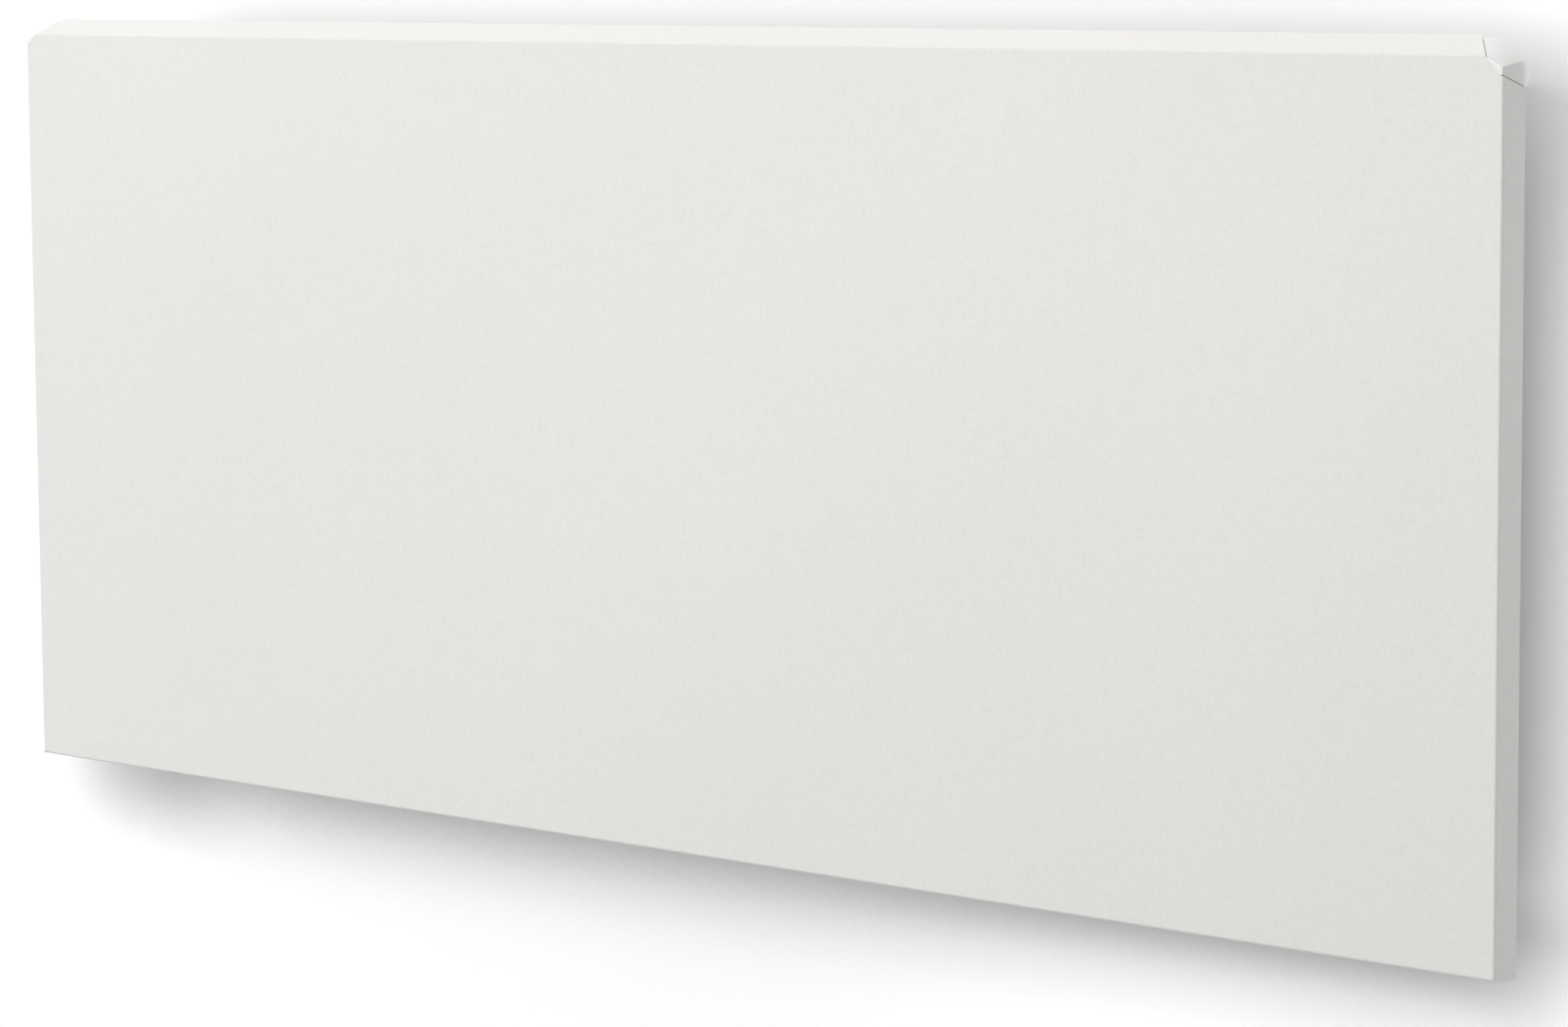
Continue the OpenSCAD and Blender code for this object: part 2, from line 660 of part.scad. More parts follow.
// Flanged bush that the supply cable comes in through, and its nut
module cable_gland() color(dark_plastic) difference() {
    union() {
        bar_z([gland_x, mid_y, floor_bottom - gland_collar], gland_shank_r + 3, gland_collar);
        bar_z([gland_x, mid_y, floor_bottom], gland_shank_r, floor_t + 6.5);
    }
    bar_z([gland_x, mid_y, floor_bottom - gland_collar - 1], gland_bore_r, 20);
}
module gland_nut() color(dark_plastic) difference() {
    translate([gland_x, mid_y, casing_bottom]) cylinder(r = gland_shank_r + 3, h = 4, $fn = 6);
    bar_z([gland_x, mid_y, casing_bottom - 1], gland_shank_r + fit, 6);
}

// Earthing bolt in the right-hand cheek, with its nut and ring tag
module earth_stud() color(brass) {
    bar_x([cheek_in_x - 12, mid_y, earth_z], 2, 12 + cheek);
    bar_x([cheek_x, mid_y, earth_z], head_r, head_t);
    difference() {
        union() {
            translate([cheek_in_x - 3.2, mid_y, earth_z]) rotate([0, 90, 0])
                cylinder(r = nut_r, h = 3.2, $fn = 6);
            bar_x([cheek_in_x - 4, mid_y, earth_z], 3.6, 0.8);
        }
        bar_x([cheek_in_x - 5, mid_y, earth_z], 2 + fit, 6);
    }
}

module wire_live() color("saddlebrown") wire([
    [pole_x[2], wire_y, block_top], [pole_x[2], wire_y, -96], [366, -43, -60], [366, -43, 20],
    [360, mid_y, 48], [360, mid_y, switch_z - 6], [switch_x - 24, mid_y, switch_z - 6]]);
module wire_switched() color("black") wire([
    [switch_x - 24, mid_y, switch_z + 6], [358, mid_y, switch_z + 6], [352, -44, 96],
    [352, mid_y, 128], [352, mid_y, relay_z]]);
module wire_neutral() color("royalblue") wire([
    [pole_x[1], wire_y, block_top], [pole_x[1], wire_y, -96], [332, -44, -60], [332, -44, 110],
    [330, mid_y, 128], [330, mid_y, relay_z]]);
module wire_earth() color("yellowgreen") wire([
    [pole_x[0], wire_y, block_top], [pole_x[0], wire_y, -108], [334, -57, -103],
    [364, -57, -98], [373, mid_y, earth_z], [cheek_in_x - 12, mid_y, earth_z]]);
module element_leads() color("white") {
    pin_x = element_x1 + 22;
    tab_x = cutout_x + 12;
    wire([[310, element_y + 3, board_z], [310, element_y + 3, cutout_z], [tab_x, element_y + 3, cutout_z]]);
    wire([[tab_x, element_y - 3, cutout_z], [309, element_y - 3, cutout_z], [309, element_y - 2, -92],
        [309, element_y, element_z + 2], [pin_x, element_y, element_z + 2]], 0.9);
    wire([[306, -41, board_z], [306, -41, -30], [315, -43, -70], [315, element_y, element_z - 2],
        [pin_x, element_y, element_z - 2]], 0.9);
}

// ---------- tilt hinge on the heater ----------

// Lug riveted to the back plate: a base with two tabs, whose heels meet the bracket at full tilt
module hinge_lug() difference() {
    union() {
        block([post_x - lug_x, plate_y, lug_base[0]], [post_x + lug_x, plate_y + bracket_t, lug_base[1]]);
        for (x = [post_x - lug_x, post_x + lug_x - bracket_t])
            translate([0, pivot_y, pivot_z]) run_x(x, x + bracket_t) {
                polygon([[plate_y - pivot_y, lug_base[1] - pivot_z], [plate_y - pivot_y, lug_base[0] - pivot_z],
                    [2, lug_base[0] - pivot_z], heel, [heel[0], 0], [0, 6]]);
                circle(6);
            }
    }
    bar_x([post_x - lug_x - 1, pivot_y, pivot_z], pin_r + fit, 2 * lug_x + 2);
    for (p = lug_rivet_at) bar_y([post_x + p[0], plate_y - 1, p[1]], rivet_r + fit, 4);
}
module hinge_lug_left() color(galvanised) mirror([1, 0, 0]) hinge_lug();
module hinge_lug_right() color(galvanised) hinge_lug();

module pivot_pins() color(bright_steel) both_sides() {
    reach = post_w / 2 + 2.3;
    bar_x([post_x - reach, pivot_y, pivot_z], pin_r, 2 * reach);
    for (x = [post_x - reach, post_x + reach - 2]) bar_x([x, pivot_y, pivot_z], pin_r + 1.6, 2);
}

module lug_rivets() color(bright_steel) both_sides() for (p = lug_rivet_at)
    translate([post_x + p[0], 0, p[1]]) {
        bar_y([0, plate_in_y - 1, 0], rivet_r, plate + bracket_t + 2);
        bar_y([0, plate_in_y - 1, 0], head_r, 1);
        bar_y([0, plate_y + bracket_t, 0], head_r, 1);
    }

// Studs on the back plate that push into the sockets of the bracket
module catch_studs() color(bright_steel) both_sides() translate([post_x, 0, catch_z]) {
    bar_y([0, plate_in_y - 1.5, 0], stud_r + 2, 1.5);
    bar_y([0, plate_in_y - 1.5, 0], stud_r, stud_l + plate - 0.5);
    bar_y([0, plate_y, 0], stud_r + 2.5, 1.5);
    translate([0, plate_y + stud_l - 2, 0]) rotate([-90, 0, 0]) cylinder(r1 = stud_r, r2 = stud_r / 2, h = 2);
}

// ---------- wall bracket ----------

// Channel upright: the web lies on the wall and the side walls carry the pivot
module bracket_upright() {
    foot_z = pivot_z + post_foot;
    half = post_w / 2;
    difference() {
        union() {
            block([post_x - half, -bracket_t, foot_z], [post_x + half, 0, post_top]);
            for (x = [post_x - half, post_x + half - bracket_t]) run_x(x, x + bracket_t)
                polygon([[0, foot_z], [3 - post_d, foot_z], [-post_d, foot_z + 5],
                    [-post_d, post_top - 8], [-8, post_top], [0, post_top]]);
        }
        for (z = [-screw_dz / 2, screw_dz / 2]) bar_y([post_x, -bracket_t - 1, z], screw_hole_r, 4);
        bar_x([post_x - half - 1, pivot_y, pivot_z], pin_r + fit, post_w + 2);
        for (z = [-rail_z, rail_z], s = [-6, 6])
            bar_x([post_x - half - 1, rivet_y, z + s], rivet_r + fit, 4);
        for (p = peg_at) bar_y([post_x + p[0], -bracket_t - 1, catch_z + p[1]], rivet_r + fit, 4);
        // lightening slots
        for (z = [-15, 25]) block([post_x - 5, -bracket_t - 1, z - 15], [post_x + 5, 1, z + 5]);
    }
}
module bracket_upright_left() color(galvanised) mirror([1, 0, 0]) bracket_upright();
module bracket_upright_right() color(galvanised) bracket_upright();

// Cross rail with stiffening lips and an end tab riveted to each upright
module bracket_rail(z) difference() {
    end_x = post_x - post_w / 2;
    union() {
        block([-end_x, -bracket_t, z - rail_h / 2], [end_x, 0, z + rail_h / 2]);
        for (e = [z - rail_h / 2, z + rail_h / 2 - bracket_t])
            block([20 - end_x, -7, e], [end_x - 20, 0, e + bracket_t]);
        for (x = [-end_x, end_x - bracket_t])
            block([x, 2 - post_d, z - rail_h / 2], [x + bracket_t, 0, z + rail_h / 2]);
    }
    both_sides() for (s = [-6, 6])
        bar_x([end_x - 3, rivet_y, z + s], rivet_r + fit, 4);
}
module bracket_rail_upper() color(galvanised) bracket_rail(rail_z);
module bracket_rail_lower() color(galvanised) bracket_rail(-rail_z);

module bracket_rivets() color(bright_steel) both_sides() for (z = [-rail_z, rail_z], s = [-6, 6])
    translate([post_x - post_w / 2, rivet_y, z + s]) {
        bar_x([-bracket_t - 1, 0, 0], rivet_r, 2 * bracket_t + 2);
        bar_x([-bracket_t - 1, 0, 0], head_r, 1);
        bar_x([bracket_t, 0, 0], head_r, 1);
    }

// Moulded sockets with slit mouths, pegged to the webs of the uprights
module catch_sockets() color(grey_plastic) both_sides() difference() {
    union() {
        block([post_x - 11, 0.5 - post_d, catch_z - 10], [post_x + 11, -bracket_t, catch_z + 10]);
        for (p = peg_at) bar_y([post_x + p[0], -bracket_t - 0.5, catch_z + p[1]], rivet_r, bracket_t + 0.3);
    }
    bar_y([post_x, -post_d, catch_z], socket_r, post_d - bracket_t + 1);
    for (a = [0, 90]) translate([post_x, 0, catch_z]) rotate([0, a, 0])
        block([-0.4, -post_d, -7], [0.4, 10 - post_d, 7]);
}

front_panel();
panel_nuts();
corner_cap_left();
corner_cap_right();
back_plate();
end_cheek_left();
end_cheek_right();
heat_shield();
outlet_grille();
inlet_guard();
heating_element();
element_rod();
element_bracket_left();
element_bracket_right();
element_bushes();
thermal_cutout();
cutout_bracket();
control_housing();
control_board();
board_screws();
display_module();
display_lens();
button_minus();
button_plus();
button_mode();
switch_body();
switch_rocker();
terminal_box();
terminal_lid();
terminal_block();
terminal_clamps();
cable_gland();
gland_nut();
earth_stud();
wire_live();
wire_switched();
wire_neutral();
wire_earth();
element_leads();
casing_screws();
hinge_lug_left();
hinge_lug_right();
pivot_pins();
lug_rivets();
catch_studs();
bracket_upright_left();
bracket_upright_right();
bracket_rail_upper();
bracket_rail_lower();
bracket_rivets();
catch_sockets();
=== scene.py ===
"""Looks of the wall-hung panel heater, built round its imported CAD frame."""
import functools
import json
import math

import bmesh
import bpy
from mathutils import Matrix, Vector


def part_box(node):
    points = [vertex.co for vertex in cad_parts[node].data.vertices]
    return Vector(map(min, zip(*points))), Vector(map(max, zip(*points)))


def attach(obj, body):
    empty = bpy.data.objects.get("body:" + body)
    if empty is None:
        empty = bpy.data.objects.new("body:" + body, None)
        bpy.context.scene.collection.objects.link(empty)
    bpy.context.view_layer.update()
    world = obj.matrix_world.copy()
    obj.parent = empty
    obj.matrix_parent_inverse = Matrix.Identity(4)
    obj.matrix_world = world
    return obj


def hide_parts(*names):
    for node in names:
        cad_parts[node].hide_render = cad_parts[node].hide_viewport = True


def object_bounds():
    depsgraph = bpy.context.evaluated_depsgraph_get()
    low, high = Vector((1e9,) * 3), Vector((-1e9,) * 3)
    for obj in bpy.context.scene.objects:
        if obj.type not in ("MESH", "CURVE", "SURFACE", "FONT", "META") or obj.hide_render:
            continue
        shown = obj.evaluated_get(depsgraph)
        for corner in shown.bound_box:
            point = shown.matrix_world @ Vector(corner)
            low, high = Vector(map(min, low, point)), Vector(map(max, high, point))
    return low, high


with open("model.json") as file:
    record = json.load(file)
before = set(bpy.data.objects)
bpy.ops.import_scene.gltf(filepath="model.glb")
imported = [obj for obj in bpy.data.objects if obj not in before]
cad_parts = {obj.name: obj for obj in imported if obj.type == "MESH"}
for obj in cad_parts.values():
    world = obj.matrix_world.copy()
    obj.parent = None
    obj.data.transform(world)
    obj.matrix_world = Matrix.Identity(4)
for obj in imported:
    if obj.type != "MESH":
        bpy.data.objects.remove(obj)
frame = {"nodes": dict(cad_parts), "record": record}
cad_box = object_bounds()
nodes = frame["nodes"]
slot_of = {s["node"]: s["material_slot"] for s in frame["record"]["subparts"]}
scene = bpy.context.scene
MM = 0.001

# ---------------------------------------------------------------- sizes of the front, as in the CAD
panel_lo, panel_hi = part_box("front_panel")
RIM_RUN = 10 * MM
TOP_RISE = 7 * MM
SIDE_FLARE = 3.5 * MM
FOLD_R = 1.3 * MM
FACE_Y = panel_lo.y
EDGE_X = panel_hi.x - SIDE_FLARE
EDGE_Z = panel_hi.z - TOP_RISE

# corner caps: each pair is the value at the face and the value at the back of the rim
CAP_LEG_TOP = (8 * MM, 20 * MM - SIDE_FLARE)
CAP_LEG_SIDE = (8 * MM, 20 * MM - TOP_RISE)
CAP_DOME = (10.5 * MM, 22.5 * MM)
CAP_TURN = math.radians(53)         # how far the dome turns before the crease
CREASE_LEAN = math.radians(18)      # lean of the crease's own normal from the side's
CAP_DROP = 0.7 * MM                 # the dome's back lies this far under the steel rim's top
CAP_WALL = 1.3 * MM
CAP_SEAM = 0.35 * MM
CAP_UNDER = 0.25 * MM               # the flat corner ends this far inside the steel's folds
CAP_SETBACK = 0.02 * MM             # and lies this far behind the face
CAP_INSET = 0.3 * MM                # the middle of its edge is drawn in by this much each way
CAP_SOFT = 2.4 * MM                 # extra fold radius at the middle of the dome
CAP_SKIRT = 3.1 * MM                # depth of the tab at the back of the side facet
CAP_DIP, DIP_START = 1.15 * MM, 0.75    # cut in the rear edge at the crease, and its start
CAP_LIP = 0.05 * MM
TONGUE_STEP, TONGUE_REACH = 1.2 * MM, 4 * MM
STEP_SHARE, TONGUE_SHARE = 0.95, 0.7    # how far back the step and the tongue run along the rim
CAP_MERGE = 0.002 * MM
DOME_STEPS, FACET_STEPS, FOLD_STEPS, RUN_STEPS = 20, 8, 7, 8


# ---------------------------------------------------------------- camera
def add_camera():
    """A long lens to the right of the heater, just above its top edge."""
    azimuth, elevation, roll = map(math.radians, (41.107, 6.782, -0.382))
    aim = Vector((0.0656, FACE_Y, -0.0231))
    distance = 2.170
    forward = Vector((-math.sin(azimuth) * math.cos(elevation),
                      math.cos(azimuth) * math.cos(elevation), -math.sin(elevation)))
    level = forward.cross(Vector((0, 0, 1))).normalized()
    upright = level.cross(forward)
    right = level * math.cos(roll) + upright * math.sin(roll)
    up = right.cross(forward)
    data = bpy.data.cameras.new("camera")
    data.sensor_width = 36
    data.lens = 113.64
    data.clip_start, data.clip_end = 0.05, 60
    camera = bpy.data.objects.new("camera", data)
    camera.matrix_world = Matrix.Translation(aim - forward * distance) @ Matrix(
        (right, up, -forward)).transposed().to_4x4()
    scene.collection.objects.link(camera)
    scene.camera = camera


# ---------------------------------------------------------------- materials
class Shade:
    """A node material: a Principled shader with colour, roughness and bump fed by procedural nodes."""

    def __init__(self, name, roughness=0.5, metallic=0.0):
        self.material = bpy.data.materials.new(name)
        self.material.use_nodes = True
        self.tree = self.material.node_tree
        self.shader = self.tree.nodes["Principled BSDF"]
        self.shader.inputs["Roughness"].default_value = roughness
        self.shader.inputs["Metallic"].default_value = metallic
        self.place = self.node("ShaderNodeTexCoord").outputs["Object"]
        self.relief = None

    def node(self, kind, **values):
        made = self.tree.nodes.new(kind)
        for key, value in values.items():
            setattr(made, key, value)
        return made

    def link(self, a, b):
        self.tree.links.new(a, b)

    def scaled(self, scale):
        """Object coordinates stretched by a factor along each axis."""
        mapping = self.node("ShaderNodeMapping")
        mapping.inputs["Scale"].default_value = scale
        self.link(self.place, mapping.inputs["Vector"])
        return mapping.outputs["Vector"]

    def noise(self, size, detail=2.0, stretch=(1, 1, 1)):
        """Noise whose grains are about size metres across."""
        made = self.node("ShaderNodeTexNoise")
        made.inputs["Scale"].default_value = 1.0
        made.inputs["Detail"].default_value = detail
        self.link(self.scaled([s / size for s in stretch]), made.inputs["Vector"])
        return made.outputs["Fac"]

    def cells(self, size, feature="F1", output="Distance"):
        """Voronoi cells about size metres across."""
        made = self.node("ShaderNodeTexVoronoi", feature=feature)
        made.inputs["Scale"].default_value = 1.0
        self.link(self.scaled([1 / size] * 3), made.inputs["Vector"])
        return made.outputs[output]

    def ramp(self, source, stops):
        """Colour ramp through (position, colour or grey level) stops."""
        made = self.node("ShaderNodeValToRGB")
        while len(made.color_ramp.elements) < len(stops):
            made.color_ramp.elements.new(0.5)
        for element, (at, colour) in zip(made.color_ramp.elements, stops):
            element.position = at
            element.color = (*colour, 1) if hasattr(colour, "__len__") else (*[colour] * 3, 1)
        self.link(source, made.inputs["Fac"])
        return made.outputs["Color"]

    def mix(self, a, b, factor, blend="MIX"):
        """Blends two colours. Each of the three inputs is a socket or a plain value."""
        made = self.node("ShaderNodeMix", data_type="RGBA", blend_type=blend)
        for value, socket in ((factor, made.inputs[0]), (a, made.inputs[6]), (b, made.inputs[7])):
            if isinstance(value, bpy.types.NodeSocket):
                self.link(value, socket)
            elif hasattr(value, "__len__"):
                socket.default_value = (*value, 1)
            else:
                socket.default_value = value
        return made.outputs[2]

    def colour(self, source):
        self.link(source, self.shader.inputs["Base Color"])

    def rough(self, source, low, high):
        """Roughness that runs from low to high with the source."""
        made = self.node("ShaderNodeMapRange")
        made.inputs["To Min"].default_value = low
        made.inputs["To Max"].default_value = high
        self.link(source, made.inputs["Value"])
        self.link(made.outputs["Result"], self.shader.inputs["Roughness"])

    def bump(self, source, height):
        """Adds relief height metres deep on top of what is there."""
        made = self.node("ShaderNodeBump")
        made.inputs["Distance"].default_value = height
        self.link(source, made.inputs["Height"])
        if self.relief:
            self.link(self.relief, made.inputs["Normal"])
        self.relief = made.outputs["Normal"]
        self.link(self.relief, self.shader.inputs["Normal"])


def tint(colour, factor):
    """The colour made lighter or darker by a factor."""
    return tuple(min(1.0, c * factor) for c in colour)


def powder_coat(name, colour, grain=0.7 * MM, relief=0.012 * MM, roughness=0.42):
    """Baked powder coat: a fine orange peel, faint pigment speckle and slow drifts in tone."""
    shade = Shade(name, roughness)
    drift = shade.ramp(shade.noise(220 * MM, 1), [(0.3, tint(colour, 0.988)), (0.7, tint(colour, 1.008))])
    speckle = shade.ramp(shade.noise(1.6 * MM, 3), [(0.36, 0.972), (0.5, 1.0), (0.68, 1.012)])
    shade.colour(shade.mix(drift, speckle, 1.0, "MULTIPLY"))
    shade.rough(shade.noise(6 * MM, 2), roughness - 0.04, roughness + 0.05)
    shade.bump(shade.noise(grain, 2), relief)
    shade.bump(shade.noise(4 * MM, 1), relief * 0.4)
    shade.shader.inputs["Specular IOR Level"].default_value = 0.4
    return shade.material


def moulded(name, colour, roughness=0.4, grain=0.5 * MM, relief=0.008 * MM):
    """Injection-moulded plastic with a fine spark-eroded grain and slight flow marks."""
    shade = Shade(name, roughness)
    flow = shade.noise(18 * MM, 2, (1, 1, 0.4))
    shade.colour(shade.ramp(flow, [(0.35, tint(colour, 0.975)), (0.65, tint(colour, 1.02))]))
    shade.rough(shade.noise(2.5 * MM, 2), roughness - 0.05, roughness + 0.05)
    shade.bump(shade.cells(grain), relief)
    return shade.material


def zinc_plate(name, colour, spangle=4.5 * MM):
    """Hot-dip galvanised sheet: crystal spangles of slightly different tone and gloss."""
    shade = Shade(name, 0.4, 0.85)
    crystals = shade.cells(spangle, output="Color")
    tone = shade.ramp(crystals, [(0.15, tint(colour, 0.94)), (0.85, tint(colour, 1.1))])
    dust = shade.ramp(shade.noise(30 * MM, 4), [(0.35, 0.93), (0.65, 1.03)])
    shade.colour(shade.mix(tone, dust, 1.0, "MULTIPLY"))
    shade.rough(crystals, 0.3, 0.5)
    shade.bump(shade.noise(1.2 * MM, 3), 0.006 * MM)
    return shade.material


def bright_metal(name, colour, stretch=(1, 1, 1), roughness=0.3, grain=0.4 * MM):
    """Drawn or rolled metal with fine lines along one direction."""
    shade = Shade(name, roughness, 1.0)
    lines = shade.noise(grain, 3, stretch)
    stain = shade.ramp(shade.noise(25 * MM, 3), [(0.35, tint(colour, 0.93)), (0.65, tint(colour, 1.04))])
    shade.colour(stain)
    shade.rough(lines, roughness - 0.07, roughness + 0.09)
    shade.bump(lines, 0.006 * MM)
    return shade.material


def circuit_board(name, colour):
    """Solder resist over copper tracks, with a scatter of plated holes."""
    shade = Shade(name, 0.35)
    tracks = shade.ramp(shade.cells(3.2 * MM, "DISTANCE_TO_EDGE"), [(0.05, 1.0), (0.09, 0.0)])
    base = shade.mix(colour, tint(colour, 1.9), tracks)
    holes = shade.ramp(shade.cells(2.4 * MM), [(0.12, 1.0), (0.16, 0.0)])
    shade.colour(shade.mix(base, (0.6, 0.6, 0.58), holes))
    shade.bump(tracks, 0.03 * MM)
    return shade.material


def ceramic(name, colour):
    """Unglazed steatite with a fine fleck."""
    shade = Shade(name, 0.7)
    fleck = shade.ramp(shade.noise(0.8 * MM, 4), [(0.3, tint(colour, 0.88)), (0.55, colour)])
    shade.colour(fleck)
    shade.bump(shade.noise(0.5 * MM, 3), 0.03 * MM)
    return shade.material


def sleeve(name, colour, second=None, braid=False):
    """Wire sleeve: smooth plastic, two-coloured for the earth wire, or a braided glass sleeve."""
    shade = Shade(name, 0.75 if braid else 0.38)
    tone = shade.noise(4 * MM, 2)
    shade.colour(shade.ramp(tone, [(0.35, tint(colour, 0.9)), (0.65, tint(colour, 1.06))]))
    if second:
        stripe = shade.ramp(shade.noise(5 * MM, 0, (1, 1, 0.3)), [(0.49, 0.0), (0.51, 1.0)])
        shade.colour(shade.mix(colour, second, stripe))
    if braid:
        shade.bump(shade.cells(0.7 * MM), 0.12 * MM)
    else:
        shade.bump(shade.noise(1 * MM), 0.01 * MM)
    return shade.material


record_colour = {m["slot"]: tuple(m["base_color"][:3]) for m in frame["record"]["materials"]}
MATERIALS = {
    "front_paint": powder_coat("front_paint", (0.665, 0.652, 0.636)),
    "casing_paint": powder_coat("casing_paint", (0.64, 0.63, 0.615), 0.9 * MM, 0.016 * MM, 0.5),
    "cap_plastic": moulded("cap_plastic", (0.66, 0.66, 0.645), 0.24, 0.9 * MM, 0.003 * MM),
    "galvanised": zinc_plate("galvanised", record_colour["galvanised"]),
    "bright_steel": bright_metal("bright_steel", record_colour["bright_steel"]),
    "fin_aluminium": bright_metal("fin_aluminium", record_colour["fin_aluminium"], (0.02, 1, 1), 0.35),
    "bush_ceramic": ceramic("bush_ceramic", record_colour["bush_ceramic"]),
    "black_plastic": moulded("black_plastic", (0.03, 0.03, 0.032), 0.5),
    "rocker_plastic": moulded("rocker_plastic", (0.022, 0.022, 0.024), 0.28, 0.9 * MM, 0.003 * MM),
    "housing_plastic": moulded("housing_plastic", (0.62, 0.62, 0.61), 0.48),
    "button_plastic": moulded("button_plastic", (0.76, 0.76, 0.75), 0.38, 0.6 * MM, 0.004 * MM),
    "board": circuit_board("board", record_colour["board"]),
    "lens": moulded("lens", (0.012, 0.012, 0.014), 0.08, 2 * MM, 0.0008 * MM),
    "terminal_plastic": moulded("terminal_plastic", record_colour["terminal_plastic"], 0.5),
    "brass": bright_metal("brass", record_colour["brass"], (1, 1, 1), 0.28),
    "wire_brown": sleeve("wire_brown", record_colour["wire_brown"]),
    "wire_black": sleeve("wire_black", record_colour["wire_black"]),
    "wire_blue": sleeve("wire_blue", record_colour["wire_blue"]),
    "wire_green": sleeve("wire_green", (0.08, 0.33, 0.06), (0.75, 0.62, 0.03)),
    "wire_white": sleeve("wire_white", record_colour["wire_white"], braid=True),
}


def dress(obj, slot):
    """Gives an object the finish of a record slot."""
    obj.data.materials.clear()
    obj.data.materials.append(MATERIALS[slot])


# ---------------------------------------------------------------- mesh helpers
def add_piece(name, mesh, body, slot, replaces):
    """A finer piece that rides a body, and takes the place of the frame nodes it replaces."""
    obj = bpy.data.objects.new(name, mesh)
    scene.collection.objects.link(obj)
    dress(obj, slot)
    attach(obj, body)
    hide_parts(*replaces)
    return obj


WELD_REACH = 0.001 * MM
FLAT_ANGLE = math.radians(1)
BEND_ANGLE = math.radians(30)


def shade_welded(obj, width=0.0):
    """Joins a frame node's split faces, rounds its hard edges by a width and evens its shading."""
    obj.data.polygons.foreach_set("use_smooth", [True] * len(obj.data.polygons))
    weld = obj.modifiers.new("weld", "WELD")
    weld.merge_threshold = WELD_REACH
    if width:
        flats = obj.modifiers.new("flats", "DECIMATE")
        flats.decimate_type = "DISSOLVE"
        flats.angle_limit = FLAT_ANGLE
        bevel = obj.modifiers.new("edge_radius", "BEVEL")
        bevel.width = width
        bevel.segments = 2
        bevel.limit_method = "ANGLE"
        bevel.angle_limit = BEND_ANGLE
    even = obj.modifiers.new("even_shading", "WEIGHTED_NORMAL")
    even.weight = 80


def smooth_by_angle(mesh, degrees):
    """Smooth shading, with edges sharper than the angle kept hard."""
    limit = math.radians(degrees)
    work = bmesh.new()
    work.from_mesh(mesh)
    for face in work.faces:
        face.smooth = True
    for edge in work.edges:
        edge.smooth = len(edge.link_faces) == 2 and edge.calc_face_angle(0) < limit
    work.to_mesh(mesh)
    work.free()


# ---------------------------------------------------------------- corner caps
def fold_apex(rise):
    """How far inside the edge the planes of the face and of a rim meet."""
    run, up = RIM_RUN - FOLD_R, rise + FOLD_R
    angle = math.atan2(up, run) - math.asin(FOLD_R / math.hypot(run, up))
    return FOLD_R * (1 - math.tan((math.pi / 2 - angle) / 2))


def lerp(pair, share):
    """The value at a share of the way from the first of a pair to the second."""
    return pair[0] + (pair[1] - pair[0]) * share


def cap_outline(share):
    """Outline of a cap at a share of the way back, over the dome and down the side facet.

    Each point is (x, z, outward normal in that plane)."""
    top = lerp((EDGE_Z - fold_apex(TOP_RISE), EDGE_Z + TOP_RISE - CAP_DROP), share)
    side = lerp((EDGE_X - fold_apex(SIDE_FLARE), EDGE_X + SIDE_FLARE), share)
    radius = lerp(CAP_DOME, share)
    start = EDGE_X - lerp(CAP_LEG_TOP, share)
    end = EDGE_Z - lerp(CAP_LEG_SIDE, share)
    centre = side - radius * math.sin(CAP_TURN)
    straight = max(0.0, centre - start)
    first = math.asin(max(0.0, (start - centre) / radius))
    arc = radius * (CAP_TURN - first)
    points = []
    for k in range(DOME_STEPS + 1):
        along = (straight + arc) * k / DOME_STEPS
        turn = first + max(0.0, along - straight) / radius
        x = start + along if along < straight else centre + radius * math.sin(turn)
        normal = (math.sin(turn), math.cos(turn))
        points.append((x, top - radius * (1 - math.cos(turn)), normal))
    crease = points[-1][1]
    points[-1] = (*points[-1][:2], (math.cos(CREASE_LEAN), math.sin(CREASE_LEAN)))
    for k in range(1, FACET_STEPS + 1):
        points.append((side, crease + (end - crease) * k / FACET_STEPS, (1, 0)))
    return points


def cap_columns():
    """One list of points for each place along the outline, from the flat face back to the rear edge."""
    count = DOME_STEPS + FACET_STEPS
    cut = [Vector((EDGE_X - CAP_LEG_TOP[0] - CAP_SEAM, FACE_Y, EDGE_Z - FOLD_R - CAP_UNDER)),
           Vector((EDGE_X - FOLD_R - CAP_UNDER, FACE_Y, EDGE_Z - CAP_LEG_SIDE[0] - CAP_SEAM))]
    inset = Vector((-CAP_INSET, 0, -CAP_INSET))
    columns = []
    for k, (near, far) in enumerate(zip(cap_outline(0), cap_outline(1))):
        front = Vector((near[0], FACE_Y, near[1]))
        back = Vector((far[0], FACE_Y + RIM_RUN, far[1]))
        outward = Vector((near[2][0], 0, near[2][1]))
        ruling = (back - front).normalized()
        u = min(k / DOME_STEPS, 1)
        v = max(0, k - DOME_STEPS) / FACET_STEPS
        radius = FOLD_R + CAP_SOFT * math.sin(math.pi * u) ** 0.8 if u < 1 else FOLD_R
        leg = radius * math.tan(outward.angle(ruling) / 2)
        start, stop = front - outward * leg, front + ruling * leg
        column = [cut[0].lerp(cut[1], k / count) + (inset if 0 < k < count else Vector())]
        for j in range(FOLD_STEPS + 1):
            t = j / FOLD_STEPS
            column.append(start * (1 - t) ** 2 + front * 2 * t * (1 - t) + stop * t * t)
        # the rear edge is cut back at the crease and swells into a tab down the side
        dip = max(0, (u - DIP_START) / (1 - DIP_START))
        depth = RIM_RUN - CAP_DIP * dip ** 2 * (1 - v)
        skirt = CAP_SKIRT * math.sin(math.pi * v) if v else 0
        for j in range(1, RUN_STEPS + 1):
            column.append(stop.lerp(front.lerp(back, depth / RIM_RUN), j / RUN_STEPS))
        column.append(column[-1] + Vector((0, skirt + CAP_LIP, 0)))
        columns.append(column)
    return columns


